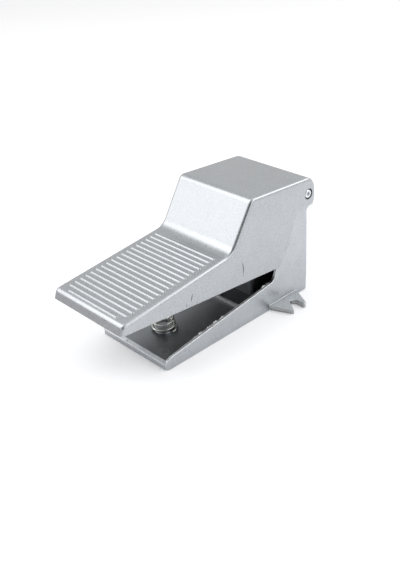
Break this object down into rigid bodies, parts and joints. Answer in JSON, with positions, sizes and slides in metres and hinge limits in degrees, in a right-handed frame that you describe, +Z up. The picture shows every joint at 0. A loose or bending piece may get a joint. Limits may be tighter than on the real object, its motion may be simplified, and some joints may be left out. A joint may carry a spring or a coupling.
{
  "type": "pneumatic foot valve",
  "caption": "Cast aluminium foot valve: a ribbed treadle hinged at the heel of an open base presses a vertical spool valve with threaded air ports at the back.",
  "frame": {"origin": "on the sole of the base, midway between the centres of the two fixing slots", "axes": "+Z up, +Y towards the heel and the air ports, +X across the foot to the right of a user who faces +Y"},
  "size_m": [0.1072, 0.1989, 0.101],
  "materials": {
    "cast_aluminium": "die-cast, satin silver",
    "valve_aluminium": "machined, clear anodised",
    "zinc_steel": "turned, zinc plated",
    "ground_steel": "ground",
    "spring_steel": "drawn wire, oiled",
    "bronze": "sintered bronze",
    "brass": "turned",
    "bearing_polymer": "natural white",
    "seal_rubber": "moulded black"
  },
  "bodies": {
    "base": {"base_frame": "cast_aluminium", "pivot_screw_right": "zinc_steel", "pivot_screw_left": "zinc_steel", "thrust_washer_right": "bearing_polymer", "thrust_washer_left": "bearing_polymer", "return_spring": "spring_steel", "valve_body": "valve_aluminium", "valve_screws": "zinc_steel", "lock_washers": "spring_steel", "gland_nut": "brass", "gland_oring": "seal_rubber", "wiper_seal": "seal_rubber", "spool_spring": "spring_steel", "end_plug": "valve_aluminium", "end_plug_oring": "seal_rubber", "retaining_ring": "spring_steel"},
    "treadle": {"pedal": "cast_aluminium", "pivot_bush_right": "bronze", "pivot_bush_left": "bronze"},
    "spool_set": {"plunger": "ground_steel", "spool": "valve_aluminium", "spool_seals": "seal_rubber"}
  },
  "joints": [
    {"name": "treadle_hinge", "type": "hinge", "parent": "base", "child": "treadle", "pos_m": [0, 0.0255, 0.0843], "axis": [1, 0, 0], "range_deg": [0, 10], "stiffness_Nm_per_rad": 8, "springref_deg": -14.9, "deforming": ["return_spring"]},
    {"name": "spool_slide", "type": "slide", "parent": "base", "child": "spool_set", "axis": [0, 0, -1], "range_m": [0, 0.0052], "stiffness_N_per_m": 600, "springref_m": -0.008, "deforming": ["spool_spring"]}
  ],
  "couplings": [
    {"joint": "spool_slide", "follows": "treadle_hinge", "m_per_rad": 0.029}
  ]
}
